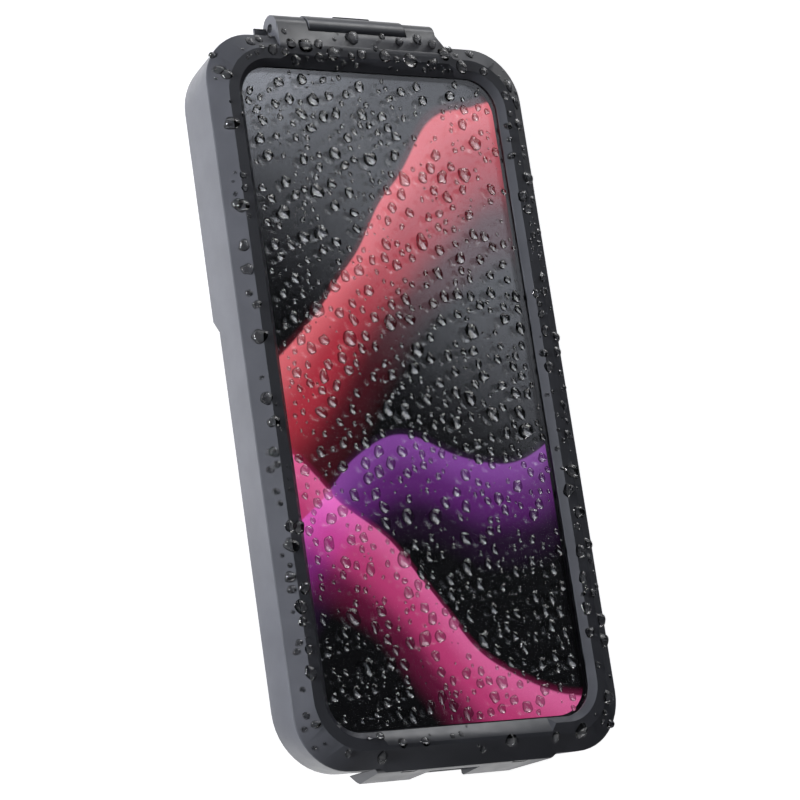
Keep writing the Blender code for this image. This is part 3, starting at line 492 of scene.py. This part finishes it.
MOULDED = {
    "back_shell": (CHARCOAL, 0.20 * MM),
    "cover_frame": (CHARCOAL, 0.16 * MM),
    "latch_lever": (CHARCOAL, 0.16 * MM),
    "lock_socket": (BLACK, 0.12 * MM),
    "film_retainer": (BLACK, 0.0),
    "seal_gasket": (RUBBER, 0.0),
    "back_pad": (FOAM, 0.0),
    "camera_pad": (FOAM, 0.0),
    "hinge_pin": (STEEL, 0.12 * MM),
    "latch_pin": (STEEL, 0.08 * MM),
    "handset_body": (ANODISED, 0.0),
    "handset_lens_1": (LENS, 0.10 * MM),
    "handset_lens_2": (LENS, 0.10 * MM),
}
pieces = {node: dressed(node, finish, edge) for node, (finish, edge) in MOULDED.items()}
for node in sorted(frame["nodes"]):
    if node.startswith("socket_screw"):
        pieces[node] = dressed(node, STEEL, 0.08 * MM)

KEPT = {
    "window_film": FILM,
    "camera_window": FILM,
    "handset_glass": GLASS,
    "handset_display": PANEL,
}
for node, finish in KEPT.items():
    frame["nodes"][node].material_slots[0].material = finish
print("dressed:", len(pieces), "kept with a new finish:", len(KEPT))

# %% [markdown]
# ## A bead of water
# A small drop that has settled on plastic is a shallow cap of a sphere. So the bead starts as a
# UV sphere, which a plane cuts above its middle, and the cut is filled. It is then sized to a
# rim radius of one and a height of one, so that each bead can be flattened by its own share.
# Small beads are repeated by the hundred and have few faces, and only the largest get a finer
# one.

# %% A bead of water
CAP_HEIGHT = 0.45


def bead_mesh(name, around, rings):
    bm = bmesh.new()
    bmesh.ops.create_uvsphere(bm, u_segments=around, v_segments=rings, radius=1.0)
    bmesh.ops.bisect_plane(
        bm,
        geom=bm.verts[:] + bm.edges[:] + bm.faces[:],
        plane_co=(0.0, 0.0, CAP_HEIGHT),
        plane_no=(0.0, 0.0, 1.0),
        clear_inner=True,
    )
    rim = [edge for edge in bm.edges if edge.is_boundary]
    bmesh.ops.holes_fill(bm, edges=rim, sides=0)
    bmesh.ops.translate(bm, verts=bm.verts, vec=(0.0, 0.0, -CAP_HEIGHT))
    rim_radius = (1.0 - CAP_HEIGHT**2) ** 0.5
    size = (1.0 / rim_radius, 1.0 / rim_radius, 1.0 / (1.0 - CAP_HEIGHT))
    bmesh.ops.scale(bm, verts=bm.verts, vec=size)
    bmesh.ops.recalc_face_normals(bm, faces=bm.faces)
    mesh = bpy.data.meshes.new(name)
    bm.to_mesh(mesh)
    bm.free()
    return mesh


SMALL_BEAD = bead_mesh("small_bead", 10, 8)
LARGE_BEAD = bead_mesh("large_bead", 18, 14)
LARGE_FROM = 1.1 * MM
print("faces of a bead:", len(SMALL_BEAD.polygons), "and", len(LARGE_BEAD.polygons))

# %% [markdown]
# ## Beads are never round
# Rain lands in splashes, and plastic holds the water's edge where it fell. So a bead's rim is
# bent by a few slow waves around it, the bead is drawn out along one direction, and its belly
# leans downhill, towards the latch. Each bead takes its numbers from one seeded random stream,
# so that the same beads come out every time. The bead is sunk a little into the surface that
# carries it, so that no air shows under the water. Before it is flattened, each of its vertices
# notes how high it stands, in the layer that the water's painted shade reads.

# %% Shape one bead
DOWNHILL = -1.0
LEAN = 0.16
SINK = 0.03 * MM
WAVES = (2, 3, 4, 5)
WAVE_SIZE = 0.16
DRAWN_OUT = (0.95, 1.3)
TURN_SPREAD = 0.45
CREASE_ANGLE = 70.0


def add_bead(bm, chance, place, normal, radius, flatness):
    """Adds a bead of this rim radius, standing on a surface with this normal."""
    template = LARGE_BEAD if radius >= LARGE_FROM else SMALL_BEAD
    first = len(bm.verts)
    bm.from_mesh(template)
    rise = bm.verts.layers.float.get(RISE) or bm.verts.layers.float.new(RISE)
    bm.verts.ensure_lookup_table()
    verts = bm.verts[first:]
    waves = [(n, chance.uniform(0.0, WAVE_SIZE) / n**0.5, chance.uniform(0, 2 * pi)) for n in WAVES]
    drawn_out = chance.uniform(*DRAWN_OUT)
    turn = chance.gauss(0.0, TURN_SPREAD)
    for vert in verts:
        angle = atan2(vert.co.y, vert.co.x)
        swell = 1.0 + sum(size * cos(n * angle + phase) for n, size, phase in waves)
        vert.co.x *= swell / drawn_out**0.5
        vert.co.y *= swell * drawn_out**0.5
        vert.co.y += DOWNHILL * LEAN * vert.co.z
        # This height drives the painted shade at the foot of the bead.
        vert[rise] = vert.co.z
    size = Vector((radius, radius, radius * flatness))
    up = normal.to_track_quat("Z", "Y").to_matrix()
    place = place - normal * SINK
    matrix = Matrix.Translation(place) @ (up @ Matrix.Rotation(turn, 3, "Z")).to_4x4()
    bmesh.ops.scale(bm, verts=verts, vec=size)
    bmesh.ops.transform(bm, verts=verts, matrix=matrix)


def water_piece(name, bm, body, finish):
    """Makes the beads one piece that rides on a body and prints how large it is."""
    mesh = bpy.data.meshes.new(name)
    bm.to_mesh(mesh)
    print(name, "has", len(bm.faces), "faces")
    bm.free()
    mesh.shade_smooth()
    mesh.set_sharp_from_angle(angle=radians(CREASE_ANGLE))
    mesh.materials.append(finish)
    piece = bpy.data.objects.new(name, mesh)
    bpy.context.scene.collection.objects.link(piece)
    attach(piece, body)
    return piece


print("bead lean:", LEAN)

# %% [markdown]
# ## Where the beads sit
# A bead that touches another runs into it, so beads keep apart. The simplest way to scatter
# them so is to throw darts: a point is drawn at random, and it is kept if it is far enough from
# all the beads that are already there. The large ones go first, while there is room. Each dart
# falls straight down on the case, and the surface that it hits gives the bead its place and
# its tilt.

# %% Scatter beads on the window
FILM_LOW, FILM_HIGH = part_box("window_film")
COVER_LOW, COVER_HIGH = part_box("cover_frame")
WINDOW_BEADS = 960
WINDOW_LAP = 3.2 * MM
WINDOW_SEED = 41
WINDOW_FLATNESS = (0.30, 0.48)
WINDOW_SIZES = [(0.04, 1.6, 2.05), (0.34, 1.0, 1.5), (0.34, 0.5, 0.95), (0.28, 0.18, 0.45)]


def bead_radii(chance, count, sizes):
    """Rim radii, largest first: sizes holds (share, low, high) in millimetres."""
    radii = []
    for share, low, high in sizes:
        radii += [chance.uniform(low, high) * MM for _ in range(round(count * share))]
    return sorted(radii, reverse=True)


def scatter(chance, radii, low, high, spacing=1.12, tries=60):
    """Places (x, y, radius) that keep apart, inside a rectangle."""
    placed = []
    for radius in radii:
        for _ in range(tries):
            x = chance.uniform(low[0] + radius, high[0] - radius)
            y = chance.uniform(low[1] + radius, high[1] - radius)
            gaps = ((x - a) ** 2 + (y - b) ** 2 - (spacing * (radius + r)) ** 2 for a, b, r in placed)
            if all(gap > 0.0 for gap in gaps):
                placed.append((x, y, radius))
                break
    return placed


def window_water():
    chance = random.Random(WINDOW_SEED)
    low = (FILM_LOW.x + WINDOW_LAP, FILM_LOW.y + WINDOW_LAP)
    high = (FILM_HIGH.x - WINDOW_LAP, FILM_HIGH.y - WINDOW_LAP)
    bm = bmesh.new()
    up = Vector((0.0, 0.0, 1.0))
    radii = bead_radii(chance, WINDOW_BEADS, WINDOW_SIZES)
    for x, y, radius in scatter(chance, radii, low, high):
        place = Vector((x, y, FILM_HIGH.z))
        add_bead(bm, chance, place, up, radius, chance.uniform(*WINDOW_FLATNESS))
    return water_piece("window_water", bm, "cover", CLEAR_WATER)


water_on_window = window_water()

# %% [markdown]
# ## Water on the frame
# On the frame the beads stand closer to the edges, because water runs off the flats and hangs
# where two faces meet. The left side has a row of its own there, and the beads are closest
# together on the right side and at the hinge end. A dart that falls straight down also finds
# the slanted faces: the surface under it comes from a BVH tree, the same fast search that a
# renderer uses. A dart that lands on a steep wall, or well below the window, is left out.

# %% Scatter beads on the frame
FRAME_SIZES = [(0.20, 1.4, 2.0), (0.38, 0.8, 1.4), (0.42, 0.3, 0.8)]
FRAME_FLATNESS = (0.5, 0.75)
FRAME_SEED = 7
STEEPEST = 0.3
DEEPEST = 1.5 * MM
DART_HEIGHT = 5 * MM


def surface_of(node):
    bm = bmesh.new()
    bm.from_mesh(frame["nodes"][node].data)
    tree = BVHTree.FromBMesh(bm)
    bm.free()
    return tree


def frame_water(strips):
    """Beads on the cover: strips holds (count, low corner, high corner)."""
    chance = random.Random(FRAME_SEED)
    ground = surface_of("cover_frame")
    down = Vector((0.0, 0.0, -1.0))
    bm = bmesh.new()
    for count, low, high in strips:
        radii = bead_radii(chance, count, FRAME_SIZES)
        for x, y, radius in scatter(chance, radii, low, high):
            start = Vector((x, y, COVER_HIGH.z + DART_HEIGHT))
            hit, normal, _, _ = ground.ray_cast(start, down)
            if hit is None or normal.z < STEEPEST or hit.z < FILM_HIGH.z - DEEPEST:
                continue
            add_bead(bm, chance, hit, normal, radius, chance.uniform(*FRAME_FLATNESS))
    return water_piece("frame_water", bm, "cover", SHADE_PAINTED_WATER)


BAND = 8.0 * MM
EDGE_BAND = (1.2 * MM, 5.8 * MM)
PAST_FILM = 5.0 * MM
ON_LEAF = 3 * MM
LEFT, RIGHT = COVER_LOW.x, COVER_HIGH.x
FOOT = FILM_LOW.y - PAST_FILM
HEAD = FILM_HIGH.y + PAST_FILM
cover_strips = [
    (44, (LEFT + EDGE_BAND[0], FOOT), (LEFT + EDGE_BAND[1], HEAD)),
    (16, (LEFT, FOOT), (LEFT + BAND, HEAD)),
    (90, (RIGHT - BAND, FOOT), (RIGHT, HEAD)),
    (54, (LEFT + BAND, HEAD - BAND), (RIGHT - BAND, HEAD + ON_LEAF)),
    (16, (LEFT + BAND, FOOT), (RIGHT - BAND, FOOT + BAND)),
]
water_on_frame = frame_water(cover_strips)

# %% [markdown]
# ## The floor
# The case lies on a pale floor that melts into a white background. The floor takes the light
# and the case's shadow, and it also glows, but only for some rays: a Light Path node tells
# what kind of ray is looking. The camera sees the full glow, so the background is white. So do
# mirrors and glass, except in two places, as if a photographer had laid dark cards there: on
# the right, where the floor would sparkle in every drop, and on the left of the foot, where the
# wall mirrors it.

# %% Floor
FLOOR_SIZE = 6.0
FLOOR_COLOUR = (0.82, 0.82, 0.83)
FLOOR_WHITE = 0.92
SHADE_X = (0.022, 0.055)
SHADE_Y = (0.085, 0.115)
FOOT_SHADE_X = (-0.040, -0.046)
FOOT_SHADE_Y = (-0.060, -0.020)
FOOT_SHADE = -0.85


def light_path(tree, *names):
    """One where the ray is any of these kinds, and zero elsewhere."""
    path = tree.nodes.new("ShaderNodeLightPath")
    total = path.outputs[names[0]]
    for name in names[1:]:
        total = maths(tree, "MAXIMUM", total, path.outputs[name])
    return total


def pale_floor():
    bm = bmesh.new()
    bmesh.ops.create_grid(bm, x_segments=1, y_segments=1, size=FLOOR_SIZE / 2)
    mesh = bpy.data.meshes.new("floor")
    bm.to_mesh(mesh)
    bm.free()
    material, tree, shader = new_finish("floor_finish")
    shader.inputs["Base Color"].default_value = (*FLOOR_COLOUR, 1.0)
    shader.inputs["Roughness"].default_value = 0.9
    shader.inputs["Specular IOR Level"].default_value = 0.0
    split = tree.nodes.new("ShaderNodeSeparateXYZ")
    tree.links.new(object_point(tree), split.inputs[0])
    beside = stretch(tree, split.outputs["X"], *SHADE_X, 1.0, 0.0, smooth=True)
    beyond = stretch(tree, split.outputs["Y"], *SHADE_Y, 0.0, 1.0, smooth=True)
    lit = maths(tree, "MAXIMUM", beside, beyond)
    left = stretch(tree, split.outputs["X"], *FOOT_SHADE_X, 0.0, 1.0, smooth=True)
    foot = stretch(tree, split.outputs["Y"], *FOOT_SHADE_Y, 1.0, 0.0, smooth=True)
    dimmed = maths(tree, "MULTIPLY", lit, maths(tree, "MULTIPLY", left, foot))
    lit = maths(tree, "MULTIPLY_ADD", dimmed, FOOT_SHADE, lit)
    mirror = light_path(tree, "Is Glossy Ray", "Is Transmission Ray")
    camera = light_path(tree, "Is Camera Ray")
    seen = maths(tree, "MAXIMUM", camera, maths(tree, "MULTIPLY", mirror, lit))
    shader.inputs["Emission Color"].default_value = (1.0, 1.0, 1.0, 1.0)
    tree.links.new(maths(tree, "MULTIPLY", seen, FLOOR_WHITE), shader.inputs["Emission Strength"])
    mesh.materials.append(material)
    floor = bpy.data.objects.new("floor", mesh)
    floor.location.z = CAD_BOX[0].z
    bpy.context.scene.collection.objects.link(floor)
    return floor


floor = pale_floor()
print("floor at z", round(floor.location.z, 5))

# %% [markdown]
# ## The lamps
# A dark, wet case is best lit from low down: the light makes its walls bright, and the faces
# that look up stay dark. A wide panel stands on the left and a small, faint one at the foot.
# A third, behind the hinge, takes no part in diffuse light and shows most as a sheen on the
# hinge's leaf. Water has to show against black, so it has two panels to itself: light linking
# names the objects that a lamp shines on. One, low at the foot, draws a bright crescent in
# each drop, and a large one behind the hinge gives each drop a grey dome.

# %% Light panels
def light_panel(name, place, aim, size, power, colour=(1.0, 1.0, 1.0)):
    """A soft rectangular light: size is (width, height) in metres, power in watts."""
    data = bpy.data.lights.new(name, "AREA")
    data.shape = "RECTANGLE"
    data.size, data.size_y = size
    data.energy = power
    data.color = colour
    lamp = bpy.data.objects.new(name, data)
    lamp.location = place
    lamp.rotation_mode = "QUATERNION"
    lamp.rotation_quaternion = (Vector(place) - Vector(aim)).to_track_quat("Z", "Y")
    lamp.visible_camera = False
    bpy.context.scene.collection.objects.link(lamp)
    return lamp


def light_only(lamp, objects):
    """Lets a lamp light these objects and nothing else."""
    receivers = bpy.data.collections.new(lamp.name + "_receivers")
    for obj in objects:
        receivers.objects.link(obj)
    lamp.light_linking.receiver_collection = receivers


CASE_MIDDLE = (0.0, 0.0, 0.01)
HINGE = (0.0, 0.086, 0.015)
COOL = (0.95, 0.97, 1.0)
left_panel = light_panel("left_panel", (-0.60, 0.10, 0.045), CASE_MIDDLE, (0.58, 0.09), 9.6, COOL)
foot_panel = light_panel("foot_panel", (0.0, -0.28, 0.05), CASE_MIDDLE, (0.25, 0.05), 0.10)
water = [water_on_window, water_on_frame]
glint_panel = light_panel("glint_panel", (0.48, -0.74, 0.30), CASE_MIDDLE, (0.55, 0.14), 3.4)
light_only(glint_panel, water)
dome_panel = light_panel("dome_panel", (0.39, 0.78, 0.48), CASE_MIDDLE, (1.40, 1.00), 9.0)
light_only(dome_panel, water)
hinge_panel = light_panel("hinge_panel", (0.40, 0.66, 0.38), HINGE, (0.34, 0.26), 2.2)
hinge_panel.visible_diffuse = False
lamps = (left_panel, foot_panel, glint_panel, dome_panel, hinge_panel)
print("lamps:", ", ".join(lamp.name for lamp in lamps))

# %% [markdown]
# ## The world
# The rest of the light comes from the world, and each part of it is a formula of the direction
# that a ray leaves in, which a world's Generated coordinates give. It is dim, but for two soft
# shapes. A slanted veil hangs high over the hinge end, stronger on one side: the window
# mirrors it as a grey haze across its top. A low glow behind the hinge gives a sheen to the
# edges that face it. Both have a faint blue tint, and the camera itself sees plain white.

# %% World
DIM = 0.03
SKY_TINT = (0.90, 0.94, 1.04)
VEIL_SLANT = 1.2
VEIL_EDGE = (0.850, 0.935)
VEIL_CORNER = (-0.21, -0.15)
VEIL_LEVELS = (0.80, 2.05)
VEIL_ABOVE = (0.60, 0.74)
GLOW_LEVEL = 1.2
GLOW_BEHIND = (0.45, 0.70)
GLOW_FROM = (0.15, 0.35)
GLOW_TO = (0.70, 0.82)
GLOW_BELOW = (0.34, 0.50)


def soft_world():
    world = bpy.data.worlds.new("world")
    world.use_nodes = True
    tree = world.node_tree
    bpy.context.scene.world = world
    direction = tree.nodes.new("ShaderNodeTexCoord").outputs["Generated"]
    split = tree.nodes.new("ShaderNodeSeparateXYZ")
    tree.links.new(direction, split.inputs[0])
    x, y, z = split.outputs
    slanted = maths(tree, "MULTIPLY_ADD", x, VEIL_SLANT, y)
    veil = stretch(tree, slanted, *VEIL_EDGE, 0.0, 1.0, smooth=True)
    across = maths(tree, "SUBTRACT", y, x)
    corner = stretch(tree, across, *VEIL_CORNER, *VEIL_LEVELS, smooth=True)
    high = stretch(tree, z, *VEIL_ABOVE, 0.0, 1.0, smooth=True)
    veil = maths(tree, "MULTIPLY", maths(tree, "MULTIPLY", veil, corner), high)
    glow = stretch(tree, y, *GLOW_BEHIND, 0.0, GLOW_LEVEL, smooth=True)
    for part, span, ends in ((x, GLOW_FROM, (0, 1)), (x, GLOW_TO, (1, 0)), (z, GLOW_BELOW, (1, 0))):
        glow = maths(tree, "MULTIPLY", glow, stretch(tree, part, *span, *ends, smooth=True))
    level = maths(tree, "ADD", maths(tree, "ADD", veil, glow), DIM)
    seen = light_path(tree, "Is Camera Ray")
    background = tree.nodes["Background"]
    tint = blend_colours(tree, seen, (*SKY_TINT, 1.0), (1.0, 1.0, 1.0, 1.0))
    tree.links.new(tint, background.inputs["Color"])
    tree.links.new(maths(tree, "MAXIMUM", level, seen), background.inputs["Strength"])
    return world


world = soft_world()
bpy.context.scene.view_settings.view_transform = "Standard"
print("world:", world.name)
